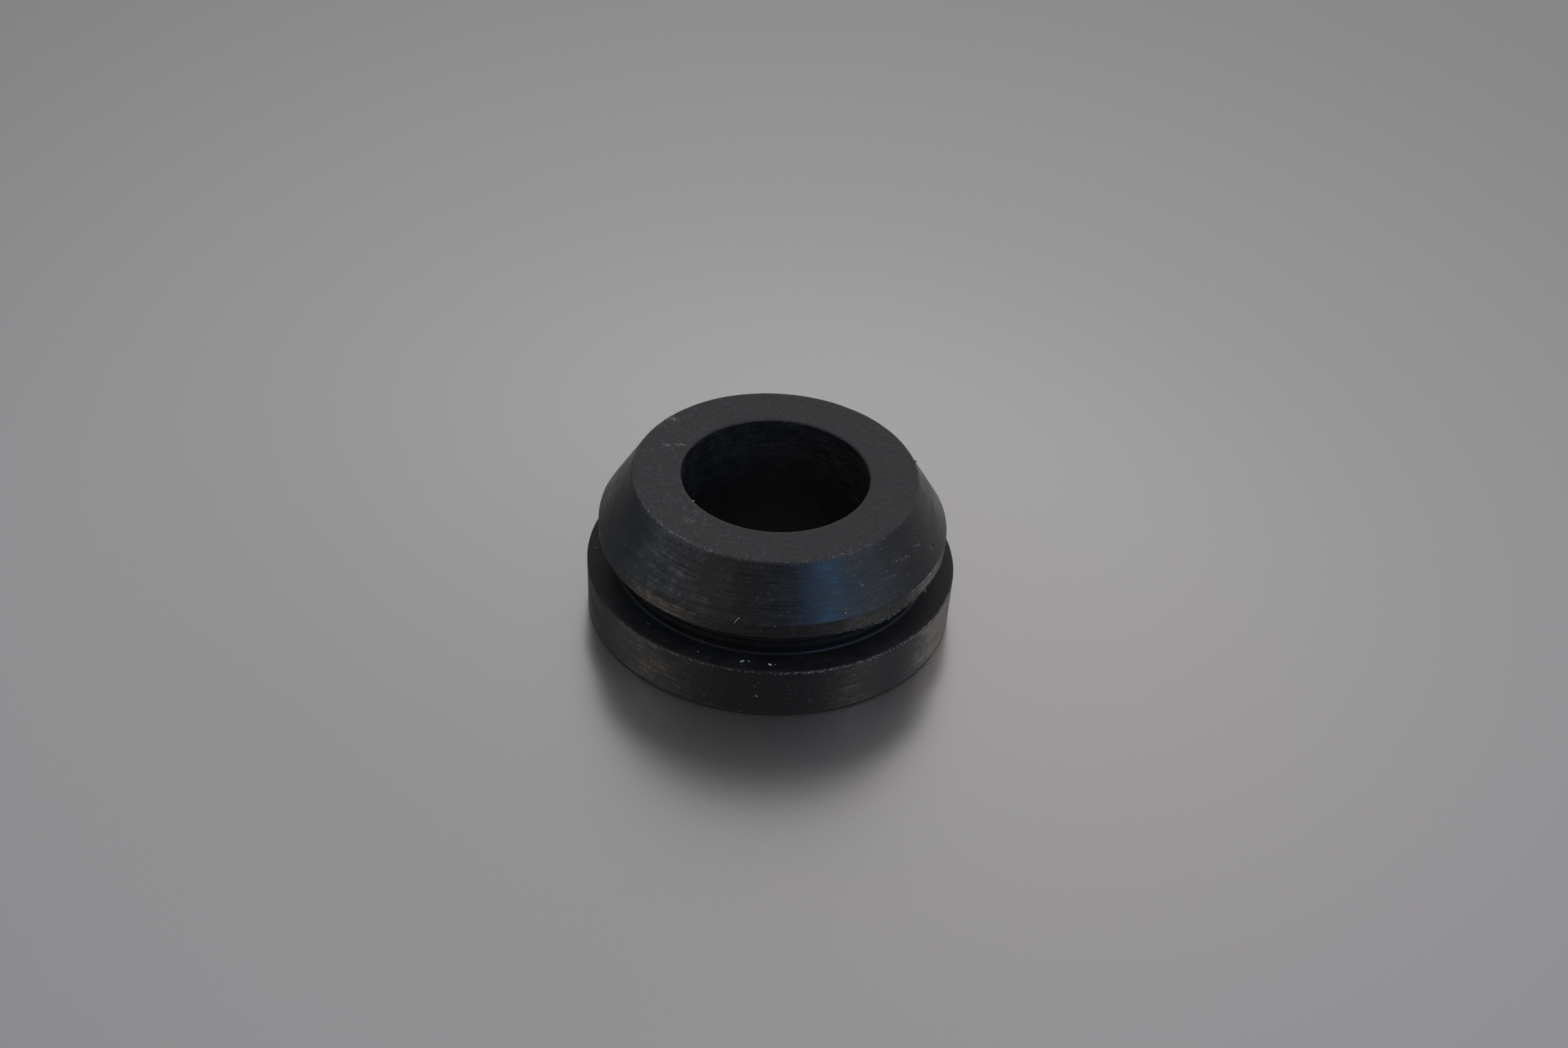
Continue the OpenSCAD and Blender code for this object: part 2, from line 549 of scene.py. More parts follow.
class Graph:
    """Short ways to add and join shader nodes."""

    def __init__(self, tree):
        self.tree = tree
        tree.nodes.clear()

    def add(self, kind, sockets=None, **settings):
        node = self.tree.nodes.new(kind)
        for name, value in settings.items():
            setattr(node, name, value)
        for key, value in (sockets or {}).items():
            if isinstance(value, bpy.types.NodeSocket):
                self.tree.links.new(value, node.inputs[key])
            else:
                node.inputs[key].default_value = value
        return node

    def math(self, operation, *values, clamp=False):
        sockets = dict(enumerate(values))
        return self.add("ShaderNodeMath", sockets, operation=operation, use_clamp=clamp).outputs[0]

    def vector(self, operation, *values):
        return self.add("ShaderNodeVectorMath", dict(enumerate(values)), operation=operation).outputs[0]

    def ramp(self, value, low, high, start=0.0, end=1.0):
        sockets = {"Value": value, "From Min": low, "From Max": high, "To Min": start, "To Max": end}
        return self.add("ShaderNodeMapRange", sockets, interpolation_type="SMOOTHSTEP").outputs[0]

    def mix(self, factor, a, b):
        return self.add("ShaderNodeMix", {0: factor, 6: a, 7: b}, data_type="RGBA").outputs[2]

    def attribute(self, name):
        return self.add("ShaderNodeAttribute", attribute_name=name).outputs["Fac"]

    def cloud(self, place, pattern):
        """The noise of a pattern, as it comes."""
        stretched = self.vector("MULTIPLY", place, pattern.scale)
        shape = {"Scale": 1.0, "Detail": pattern.detail, "Roughness": pattern.roughness}
        return self.add("ShaderNodeTexNoise", {"Vector": stretched, **shape}).outputs["Fac"]

    def level(self, value, pattern, start=0.0, end=1.0):
        """A pattern's noise, stretched between its low and its high level."""
        return self.ramp(value, pattern.low, pattern.high, start, end)

    def millimetres(self):
        """The piece's own place, in millimetres."""
        place = self.add("ShaderNodeTexCoord").outputs["Object"]
        return self.add("ShaderNodeMapping", {"Vector": place, "Scale": (1 / MM,) * 3}).outputs[0]

    def ringed(self, place, rise, spread):
        """A place of (direction x, direction y, across), for lines that run round the ring."""
        axes = self.add("ShaderNodeSeparateXYZ", {0: place}).outputs
        outward = self.add("ShaderNodeCombineXYZ", {0: axes[0], 1: axes[1], 2: 0.0}).outputs[0]
        radius = self.add("ShaderNodeVectorMath", {0: outward}, operation="LENGTH").outputs["Value"]
        around = self.add("ShaderNodeSeparateXYZ", {0: self.vector("NORMALIZE", outward)}).outputs
        across = self.math("MULTIPLY_ADD", axes[2], rise, self.math("MULTIPLY", radius, spread))
        slid = [self.math("MULTIPLY_ADD", across, slide, way) for slide, way in zip(LINE_SLIDE, around)]
        return self.add("ShaderNodeCombineXYZ", {0: slid[0], 1: slid[1], 2: across}).outputs[0]

    def specks(self, place, cover, grains):
        """Round grains, one in some of the cells: a mask in which each grain has its own strength."""
        cells = self.add("ShaderNodeTexVoronoi", {"Vector": place, "Scale": grains.density}).outputs
        lot = self.add("ShaderNodeSeparateColor", {0: cells["Color"]}).outputs
        size = self.ramp(lot[1], 0.0, 1.0, grains.smallest, grains.largest)
        inside = self.math("DIVIDE", cells["Distance"], size)
        dot = self.ramp(inside, 1.0, GRAIN_CORE)
        chosen = self.math("LESS_THAN", lot[0], self.math("MULTIPLY", cover, grains.share))
        strength = self.ramp(lot[2], 0.0, 1.0, FAINTEST_GRAIN * grains.strength, grains.strength)
        return self.math("MULTIPLY", self.math("MULTIPLY", dot, chosen), strength)

    def surface(self, sockets):
        """Ends the graph in one plain surface."""
        shader = self.add("ShaderNodeBsdfPrincipled", sockets)
        self.add("ShaderNodeOutputMaterial", {0: shader.outputs[0]})


def new_material(name):
    """An empty material and the graph of its nodes."""
    material = bpy.data.materials.new(name)
    material.use_nodes = True
    return material, Graph(material.node_tree)


class Finish(NamedTuple):
    """How one surface came out of the mould: its gloss, its lines, its grain and what lies on it."""

    roughness: float
    lay: float
    grain: float
    specular: float
    film: str = "film"
    cloud: float = 0.60
    rise: float = 1.0
    spread: float = 0.0


# lay is the strength of the lines that run round the ring, and rise and spread say how they follow each other
# across the surface, by height and by radius. film names the colour of what lies on the surface and of the
# sheen painted with it, and cloud says how uneven it is.
FINISHES = {
    "end": Finish(roughness=0.60, lay=0.06, grain=0.7, specular=0.5, cloud=0.75, rise=0.0, spread=1.0),
    "taper": Finish(roughness=0.36, lay=0.75, grain=0.25, specular=0.5, rise=0.86, spread=-0.51),
    "land": Finish(roughness=0.50, lay=0.60, grain=0.5, specular=0.33, film="grime"),
    "shelf": Finish(roughness=0.58, lay=0.40, grain=0.3, specular=0.30, rise=0.0, spread=1.0),
    "groove": Finish(roughness=0.34, lay=0.50, grain=0.2, specular=0.36, spread=1.0),
    "wall": Finish(roughness=0.44, lay=0.62, grain=0.4, specular=0.32, film="grime", cloud=0.50),
    "bore": Finish(roughness=0.45, lay=0.75, grain=0.2, specular=0.42),
}


def rgba(linear):
    """A colour as a shader socket takes it."""
    return (*linear, 1.0)


def rubber(name, finish, colours):
    """One moulded surface: black rubber with lines round the ring, a pale film that is partly painted sheen,
    dust, and worn edges with a painted highlight on the lip.
    """
    material, g = new_material(f"rubber_{name}")
    place = g.millimetres()
    ring_place = g.ringed(place, finish.rise, finish.spread)
    patches = g.level(g.cloud(place, PATCHES), PATCHES)
    powder = g.level(g.cloud(place, POWDER), POWDER)
    hairs = g.cloud(ring_place, HAIRS)
    lines = g.cloud(ring_place, LINES)
    combed = g.math("MULTIPLY_ADD", lines, LINE_SHARE, g.math("MULTIPLY", hairs, 1.0 - LINE_SHARE))
    brushed = g.ramp(combed, BARE, BRUSHED)
    brushed = g.math("MULTIPLY", brushed, g.math("MULTIPLY_ADD", patches, LINE_FADE, 1.0 - LINE_FADE))

    # The film, with the sheen painted in it, lies in patches, and thinner between the lines
    film = g.attribute("film")
    for pattern, usual in ((patches, PATCH_USUAL), (powder, POWDER_USUAL)):
        lies = g.math("MULTIPLY_ADD", pattern, finish.cloud, 1.0 - usual * finish.cloud)
        film = g.math("MULTIPLY", film, lies)
    streaky = g.math("MULTIPLY_ADD", brushed, ON_LINES * finish.lay, 1.0 - OFF_LINES * finish.lay)
    film = g.math("MULTIPLY", film, streaky, clamp=True)
    shade = g.mix(film, rgba(colours.rubber), rgba(getattr(colours, finish.film)))

    # Grains of dust, many fine ones and a few coarse ones
    gathered = g.level(g.cloud(place, CLUMPS), CLUMPS, CLUMP_LEAST, CLUMP_MOST)
    dust = g.math("MULTIPLY", g.attribute("dust"), gathered)
    grains = g.math("MAXIMUM", g.specks(place, dust, FINE_GRAINS), g.specks(place, dust, COARSE_GRAINS))
    shade = g.mix(grains, shade, rgba(colours.speck))

    # Worn edges, and the highlight painted on the lip, break up into pale crumbs, and short scratches run
    # round the ring
    wear = g.attribute("wear")
    crumbled = g.math("MULTIPLY_ADD", wear, CRUMB_GAIN, g.cloud(place, CRUMBS))
    crumbs = g.math("MULTIPLY", g.level(crumbled, CRUMBS), g.ramp(wear, 0.0, WORN_THROUGH))
    scratched = g.level(g.cloud(ring_place, FINE_SCRATCHES), FINE_SCRATCHES)
    scratches = g.math("MULTIPLY", scratched, SCRATCH_STRENGTH * finish.lay)
    marks = g.math("MAXIMUM", crumbs, scratches)
    shade = g.mix(marks, shade, rgba(colours.scuff))

    # Patches, lines and the film with its painted sheen change the gloss
    roughness = g.math("MULTIPLY_ADD", patches, PATCH_ROUGHNESS, finish.roughness - PATCH_ROUGHNESS / 2)
    roughness = g.math("MULTIPLY_ADD", g.math("SUBTRACT", combed, 0.5), finish.lay, roughness)
    roughness = g.math("MULTIPLY_ADD", film, FILM_ROUGHNESS, roughness, clamp=True)

    # Lines, grain, crumbs and dust stand in a fine relief
    turned_lines = g.math("MULTIPLY_ADD", lines, LINE_RELIEF, hairs)
    grain = g.math("MULTIPLY", g.cloud(place, GRAIN), finish.grain)
    relief = g.math("MULTIPLY_ADD", turned_lines, finish.lay, grain)
    relief = g.math("MULTIPLY_ADD", g.math("MAXIMUM", marks, grains), MARK_RELIEF, relief)
    bump = g.add("ShaderNodeBump", {"Strength": BUMP_STRENGTH, "Distance": BUMP_DEPTH, "Height": relief})
    g.surface(
        {
            "Base Color": shade,
            "Roughness": roughness,
            "Specular IOR Level": finish.specular,
            "Normal": bump.outputs[0],
        }
    )
    return material


# Fine ridges that the mould left: where they run in the panel groove, as shares of its width, and in the
# bore, as heights in millimetres; how far each set grows in radius; and half the width of a ridge
GROOVE_LINES = (0.26, 0.35, 0.5)
BORE_LINES = (11.75, 12.15)
GROOVE_LINE_LIFT = 0.03 * MM
BORE_LINE_LIFT = -0.024 * MM
LINE_HALF_WIDTH = 0.07 * MM

# The skin is uneven in waves and in a fine grain, and its edges are nicked. It is true at the bore and at
# the outer face, and fully uneven at a margin from them.
SKIN_WAVES = Uneven(0.05 * MM, 4.0 * MM)
SKIN_GRAIN = Uneven(0.015 * MM, 0.9 * MM)
NICKS = Uneven(0.14 * MM, 0.35 * MM, 0.65)
TRUE_MARGIN = 0.6 * MM

# Edges sharper than this stay crisp, on the ring and on the flash
RING_CREASE = math.radians(40)
FLASH_CREASE = math.radians(50)


class GROMMET_OT_ring(bpy.types.Operator):
    """Turn the rubber ring: extrude its section ring by ring, round its edges and give it its skin"""

    bl_idname = "grommet.ring"
    bl_label = "Rubber Ring"

    def execute(self, context):
        sizes = context.scene.grommet_sizes
        corners = section(sizes)
        ring = start_piece(
            "rubber_ring",
            bpy.ops.mesh.primitive_circle_add,
            vertices=sizes.facets,
            radius=corners["bore_foot"].radius,
        )
        bpy.ops.object.mode_set(mode="EDIT")
        self.turn(list(corners.values()))
        self.round_edges(ring, corners)
        self.divide(ring, corners)
        self.raise_mould_lines(ring, sizes)
        bpy.ops.mesh.select_all(action="SELECT")
        bpy.ops.mesh.normals_make_consistent(inside=False)
        bpy.ops.object.mode_set(mode="OBJECT")
        self.wear_edges(ring, corners)
        self.finish(ring, corners, context.scene.grommet_finish)
        bpy.ops.object.shade_smooth_by_angle(angle=RING_CREASE)
        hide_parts("grommet")
        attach(ring, "root")
        return {"FINISHED"}

    def turn(self, corners):
        """Extrudes the ring of edges from corner to corner and closes the last onto the first."""
        bpy.ops.mesh.select_all(action="SELECT")
        for here, there in zip(corners, corners[1:]):
            extrude_ring(here, there)
        bpy.ops.mesh.select_all(action="DESELECT")
        bpy.ops.mesh.select_mode(type="EDGE")
        bpy.ops.mesh.select_non_manifold()
        bpy.ops.mesh.bridge_edge_loops()

    def round_edges(self, ring, corners):
        """Bevels each corner of the section to its round or fillet."""
        names = list(corners)
        for index, name in enumerate(names):
            before = corners[names[index - 1]]
            after = corners[names[(index + 1) % len(names)]]
            select_edges(ring, near(flat(corners[name])))
            bpy.ops.mesh.bevel(
                offset_type="OFFSET",
                offset=reach(before, corners[name], after),
                segments=ROUND_STEPS,
                profile=0.5,
                affect="EDGES",
            )

    def divide(self, ring, corners):
        """Cuts each straight band into narrow rings."""
        for band in BANDS.values():
            start = flat(corners[band.start])
            end = flat(corners[band.end])
            select_edges(ring, along(start, end))
            bpy.ops.mesh.subdivide(number_cuts=max(1, round((end - start).length / band.cell) - 1))

    def raise_mould_lines(self, ring, sizes):
        """Lifts single rings into fine ridges, where the mould and its turning left a line."""
        in_groove = [sizes.flange_t + share * sizes.groove_w for share in GROOVE_LINES]
        lines = [(sizes.groove_d / 2, height, GROOVE_LINE_LIFT) for height in in_groove]
        lines += [(sizes.bore_d / 2, height * MM, BORE_LINE_LIFT) for height in BORE_LINES]
        for radius, height, lift in lines:
            bm = bmesh.from_edit_mesh(ring.data)
            rings = {v.co.z for v in bm.verts if abs(math.hypot(v.co.x, v.co.y) - radius) < TOUCH}
            nearest = min(rings, key=lambda z: abs(z - height))
            select_edges(ring, near(Vector((radius, nearest))))
            bpy.ops.mesh.bevel(offset=LINE_HALF_WIDTH, segments=2, affect="EDGES")
            select_edges(ring, near(Vector((radius, nearest))))
            grow = (radius + lift) / radius
            bpy.ops.transform.resize(value=(grow, grow, 1), center_override=(0, 0, nearest))

    def wear_edges(self, ring, corners):
        """Makes the skin slightly uneven and nicks the edges; the bore and the outer face stay true."""
        xyz = read_points(ring.data.vertices, "co")
        from_bore = (turned(xyz)[:, 0] - corners["bore_foot"].radius) / TRUE_MARGIN
        from_foot = xyz[:, 2] / TRUE_MARGIN
        weigh(ring, "skin", np.minimum(from_bore, from_foot))
        weigh(ring, "edges", edge_wear_and_highlight(xyz, corners))
        displace(ring, "skin", *SKIN_WAVES)
        displace(ring, "skin", *SKIN_GRAIN)
        displace(ring, "edges", *NICKS)

    def finish(self, ring, corners, colours):
        """Gives each surface its finish and notes where film and painted sheen, dust, and wear with a painted
        highlight lie, with the bore paler towards its mouth.
        """
        xyz = read_points(ring.data.vertices, "co")
        azimuth = azimuths(xyz)
        bands = band_of(turned(xyz), corners)
        in_bore = bands == list(BANDS).index("bore")
        mouth = in_bore * np.clip((xyz[:, 2] / MM - MOUTH_FOOT) / (MOUTH_FULL - MOUTH_FOOT), 0.0, 1.0)
        # The bore is made paler towards its mouth through the same pale mask
        for name, table, in_mouth in (("film", FILM_AND_SHEEN, MOUTH_PALING), ("dust", DUST, 0.0)):
            amounts = np.stack([table[band].at(azimuth) * np.ones(len(xyz)) for band in BANDS])
            note(ring, name, amounts[bands, np.arange(len(xyz))] + in_mouth * mouth)
        note(ring, "wear", edge_wear_and_highlight(xyz, corners))
        for name, finish in FINISHES.items():
            ring.data.materials.append(rubber(name, finish, colours))
        order = list(FINISHES)
        slots = np.array([order.index(band.finish) for band in BANDS.values()], dtype=np.int32)
        centres = read_points(ring.data.polygons, "center")
        ring.data.polygons.foreach_set("material_index", slots[band_of(turned(centres), corners)])


# The torn skin: its root and its hem, as (radius, height) from the nose's lower edge, its thickness, its
# steps round a whole ring and the cuts across it
FLASH_ROOT = (-0.40 * MM, 0.06 * MM)
FLASH_HEM = (-0.06 * MM, -0.46 * MM)
FLASH_THICKNESS = 0.07 * MM
FLASH_FACETS = 1440
FLASH_CUTS = 5

# How far the skin is drawn up at its ends, the share of its stretch, to each side, that hangs free, how
# its hem is torn and rippled, and what lies on it
FLASH_DRAWN_UP = 0.55 * MM
FLASH_FREE = 0.42
TEARS = Uneven(0.50 * MM, 0.45 * MM, 0.35)
RIPPLES = Uneven(0.22 * MM, 0.6 * MM)
FLASH_COVER = {"film": 0.14, "dust": 0.3, "wear": 0.55}

# The nub: its azimuth, its sides and the cuts in them, how steeply it stands up, where its middle is from
# the end rim in millimetres, its sizes and its skin
NUB_AZIMUTH = 105.0
NUB_SIDES = 12
NUB_CUTS = 3
NUB_SLOPE = 0.35
NUB_OUT = 0.02
NUB_DOWN = 0.05
NUB_FOOT_R = 0.16 * MM
NUB_TIP_R = 0.04 * MM
NUB_LENGTH = 0.5 * MM
NUB_SKIN = Uneven(0.10 * MM, 0.2 * MM)


class GROMMET_OT_flash(bpy.types.Operator):
    """Hang a torn skin of flash under the nose's lower edge, and leave a nub on its end rim"""

    bl_idname = "grommet.flash"
    bl_label = "Torn Flash"

    start: FloatProperty(name="Start", description="Azimuth where the skin starts, in degrees", default=22.0)
    end: FloatProperty(name="End", description="Azimuth where the skin ends, in degrees", default=66.0)

    def execute(self, context):
        corners = section(context.scene.grommet_sizes)
        lip = corners["lip"]
        root = (lip.radius + FLASH_ROOT[0], lip.height + FLASH_ROOT[1])
        hem = (lip.radius + FLASH_HEM[0], lip.height + FLASH_HEM[1])
        skin = start_piece(
            "torn_flash", bpy.ops.mesh.primitive_circle_add, vertices=FLASH_FACETS, radius=root[0]
        )
        bpy.ops.transform.translate(value=(0, 0, root[1]))
        bpy.ops.object.transform_apply(location=True, rotation=False, scale=False)
        bpy.ops.object.mode_set(mode="EDIT")
        bpy.ops.mesh.select_all(action="SELECT")
        extrude_ring(root, hem)
        select_edges(skin, along(Vector(root), Vector(hem)))
        bpy.ops.mesh.subdivide(number_cuts=FLASH_CUTS)
        self.cut_away(skin)
        bpy.ops.object.mode_set(mode="OBJECT")
        self.tear(skin, root, hem)
        self.add_nub(skin, corners["end_rim"])
        for name, value in FLASH_COVER.items():
            note(skin, name, np.full(len(skin.data.vertices), value))
        skin.data.materials.append(rubber("flash", FINISHES["land"], context.scene.grommet_finish))
        bpy.ops.object.shade_smooth_by_angle(angle=FLASH_CREASE)
        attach(skin, "root")
        return {"FINISHED"}

    def cut_away(self, skin):
        """Deletes the skin outside its stretch of the edge."""
        bpy.ops.mesh.select_mode(type="VERT")
        bm = bmesh.from_edit_mesh(skin.data)
        for vertex in bm.verts:
            azimuth = math.degrees(math.atan2(vertex.co.x, -vertex.co.y))
            vertex.select_set(not self.start < azimuth < self.end)
        bm.select_flush_mode()
        bmesh.update_edit_mesh(skin.data)
        bpy.ops.mesh.delete(type="VERT")

    def tear(self, skin, root, hem):
        """Draws the skin up at its two ends, tears its hem and gives it a thickness."""
        xyz = read_points(skin.data.vertices, "co")
        down = (root[1] - xyz[:, 2]) / (root[1] - hem[1])
        middle = (self.start + self.end) / 2
        ends = 1.0 - arc(azimuths(xyz), middle, FLASH_FREE * (self.end - self.start))
        weigh(skin, "hem", down)
        weigh(skin, "ends", down * ends)
        displace(skin, "ends", FLASH_DRAWN_UP, level=0.0, direction="Z")
        displace(skin, "hem", *TEARS, direction="Z")
        displace(skin, "hem", *RIPPLES)
        bpy.ops.object.modifier_add(type="SOLIDIFY")
        thickness = skin.modifiers[-1]
        thickness.thickness = FLASH_THICKNESS
        thickness.offset = 0.0
        bpy.ops.object.modifier_apply(modifier=thickness.name)

    def add_nub(self, skin, rim):
        """Joins on a small pointed leftover that stands out from the end rim."""
        outward = place_of(NUB_AZIMUTH, 1.0, NUB_SLOPE).normalized()
        nub = start_piece(
            "rim_nub",
            bpy.ops.mesh.primitive_cone_add,
            vertices=NUB_SIDES,
            radius1=NUB_FOOT_R,
            radius2=NUB_TIP_R,
            depth=NUB_LENGTH,
            location=place_of(NUB_AZIMUTH, rim.radius / MM + NUB_OUT, rim.height / MM - NUB_DOWN),
            rotation=outward.to_track_quat("Z", "Y").to_euler(),
        )
        bpy.ops.object.mode_set(mode="EDIT")
        bpy.ops.mesh.select_all(action="SELECT")
        bpy.ops.mesh.subdivide(number_cuts=NUB_CUTS)
        bpy.ops.object.mode_set(mode="OBJECT")
        bpy.ops.object.transform_apply(location=True, rotation=True, scale=True)
        weigh(nub, "all", np.ones(len(nub.data.vertices)))
        displace(nub, "all", *NUB_SKIN)
        skin.select_set(True)
        bpy.context.view_layer.objects.active = skin
        bpy.ops.object.join()


# A fleck is copied from a ragged scrap, a millimetre long, and its height is a share of its width
SCRAP_SKIN = Uneven(0.5 * MM, 0.4 * MM)
FLECK_HEIGHT = 0.6
FIBRE_R = 0.022 * MM

# The lint is darker in a cloudy pattern, by a share of its colour
LINT_CLOUD = Pattern((6.0, 6.0, 6.0), 2.0, 0.50, 0.35, 0.70)
LINT_DARK = 0.6
LINT_ROUGHNESS = 0.8


class Fleck(NamedTuple):
    """A scrap of lint: where it lies, its length and width in millimetres, and its turn in degrees."""

    azimuth: float
    radius: float
    height: float
    length: float
    width: float
    turn: float


FLECKS = (
    Fleck(-7.1, 17.43, 5.62, 0.46, 0.22, 35.0),
    Fleck(-5.0, 17.25, 5.58, 0.30, 0.08, -35.0),
    Fleck(2.0, 17.56, 5.62, 0.42, 0.22, -25.0),
    Fleck(3.6, 17.50, 5.57, 0.12, 0.08, 10.0),
    Fleck(-88.7, 17.95, 5.58, 0.16, 0.11, 20.0),
    Fleck(-22.1, 17.44, 5.57, 0.12, 0.09, 0.0),
    Fleck(-43.7, 17.02, 5.57, 0.11, 0.09, 40.0),
    Fleck(-56.5, 9.58, 15.92, 0.20, 0.15, 30.0),
    Fleck(26.2, 17.40, 11.09, 0.14, 0.12, 0.0),
)


class Fibre(NamedTuple):
    """A short fibre: where it starts, bends and ends, each (azimuth, radius, height)."""

    start: tuple
    middle: tuple
    end: tuple


FIBRES = (
    Fibre((-10.0, 17.76, 10.45), (-9.9, 17.66, 10.80), (-8.5, 17.46, 11.04)),
    Fibre((33.7, 16.18, 13.20), (33.9, 16.30, 13.02), (34.6, 16.36, 12.90)),
    Fibre((62.0, 17.66, 8.95), (62.3, 17.74, 8.80), (62.0, 17.78, 8.60)),
    Fibre((-2.0, 18.78, 2.62), (-1.7, 18.78, 2.52), (-1.3, 18.77, 2.40)),
)


class GROMMET_OT_lint(bpy.types.Operator):
    """Lay scraps of lint and short fibres on the rubber"""

    bl_idname = "grommet.lint"
    bl_label = "Lint"

    def execute(self, context):
        scrap = self.scrap()
        pieces = [self.lay(scrap, fleck) for fleck in FLECKS]
        pieces += [self.fibre(fibre) for fibre in FIBRES]
        bpy.ops.object.select_all(action="DESELECT")
        scrap.select_set(True)
        bpy.ops.object.delete()
        for piece in pieces:
            piece.select_set(True)
        lint = pieces[0]
        bpy.context.view_layer.objects.active = lint
        bpy.ops.object.join()
        lint.name = "lint"
        lint.data.name = "lint"
        lint.data.materials.clear()
        lint.data.materials.append(self.material(context.scene.grommet_finish))
        bpy.ops.object.shade_smooth()
        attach(lint, "root")
        return {"FINISHED"}

    def scrap(self):
        """One ragged scrap, a millimetre long, which the flecks are copied from."""
        scrap = start_piece("scrap", bpy.ops.mesh.primitive_ico_sphere_add, subdivisions=4, radius=0.5 * MM)
        weigh(scrap, "all", np.ones(len(scrap.data.vertices)))
        displace(scrap, "all", *SCRAP_SKIN)
        return scrap

    def lay(self, scrap, fleck):
        """Copies the scrap, with a mesh of its own, and lays it in its place."""
        bpy.ops.object.select_all(action="DESELECT")
        scrap.select_set(True)
        bpy.context.view_layer.objects.active = scrap
        bpy.ops.object.duplicate()
        copy = bpy.context.object
        bpy.ops.transform.resize(value=(fleck.length, fleck.width, FLECK_HEIGHT * fleck.width))
        copy.rotation_euler = (0.0, 0.0, math.radians(fleck.turn))
        copy.location = place_of(fleck.azimuth, fleck.radius, fleck.height)
        bpy.ops.object.transform_apply(location=True, rotation=True, scale=True)
        return copy

    def fibre(self, fibre):
        """Draws one fibre as a thin curve and makes it a mesh."""
        bpy.ops.object.select_all(action="DESELECT")
        bpy.ops.curve.primitive_nurbs_path_add()
        strand = bpy.context.object
        points = strand.data.splines[0].points
        ways = [place_of(*fibre.start), place_of(*fibre.middle), place_of(*fibre.end)]
        for point, share in zip(points, np.linspace(0.0, 1.0, len(points))):
            bend = ways[0] * (1 - share) ** 2 + ways[1] * 2 * share * (1 - share) + ways[2] * share**2
            point.co = (*bend, 1.0)
        strand.data.bevel_depth = FIBRE_R
        bpy.ops.object.convert(target="MESH")
        return bpy.context.object

    def material(self, colours):
        """White lint, a little uneven."""
        material, g = new_material("lint")
        uneven = g.level(g.cloud(g.millimetres(), LINT_CLOUD), LINT_CLOUD)
        shade = g.mix(uneven, rgba(LINT_DARK * c for c in colours.lint), rgba(colours.lint))
        g.surface({"Base Color": shade, "Roughness": LINT_ROUGHNESS})
        return material


class Glow(NamedTuple):
    """A soft light in the surroundings: its direction in degrees, how sharp it is, and its colour."""

    azimuth: float
    elevation: float
    sharpness: float
    colour: tuple


GLOWS = {
    "overhead": Glow(0.0, 88.0, 5.0, (0.72, 0.72, 0.74)),
    "front_high": Glow(0.0, 60.0, 6.0, (0.20, 0.20, 0.20)),
    "back": Glow(180.0, 10.0, 8.0, (0.92, 0.94, 0.94)),
    "back_right": Glow(135.0, 8.0, 8.0, (0.53, 0.53, 0.49)),
    "right_high": Glow(110.0, 45.0, 6.0, (0.28, 0.20, 0.26)),
    "front_right": Glow(72.0, 24.0, 14.0, (0.62, 0.77, 0.94)),
    "front_left": Glow(-45.0, 22.0, 14.0, (0.32, 0.24, 0.20)),
    "left": Glow(-90.0, 24.0, 14.0, (0.34, 0.49, 0.66)),
}

# A cool round window at the right, mirrored in the taper: its direction in degrees, its distance and
# width in metres, its colour and its power in watts
WINDOW_AZIMUTH = 38.0
WINDOW_ELEVATION = 22.0
WINDOW_DISTANCE = 1.0
WINDOW_WIDTH = 0.35
WINDOW_COLOUR = (0.163, 0.451, 1.0)
WINDOW_WATTS = 1.06

# The floor: its width in metres, how far it lies below the outer face, and how its colour darkens in a
# painted falloff of light and its sheen falls away from the part, between two distances in millimetres
FLOOR_WIDTH = 6.0
FLOOR_DROP = 0.02 * MM
DIMMING_START, DIMMING_END = 30.0, 190.0
DIMMED_SHARE = 0.7
SHEEN_START, SHEEN_END = 20.0, 85.0
SHEEN_NEAR, SHEEN_FAR = 0.93, 0.22


def way_to(azimuth, elevation):
    """The way to a light, from its azimuth and elevation in degrees."""
    rise = math.radians(elevation)
    return place_of(azimuth, math.cos(rise), math.sin(rise)) / MM


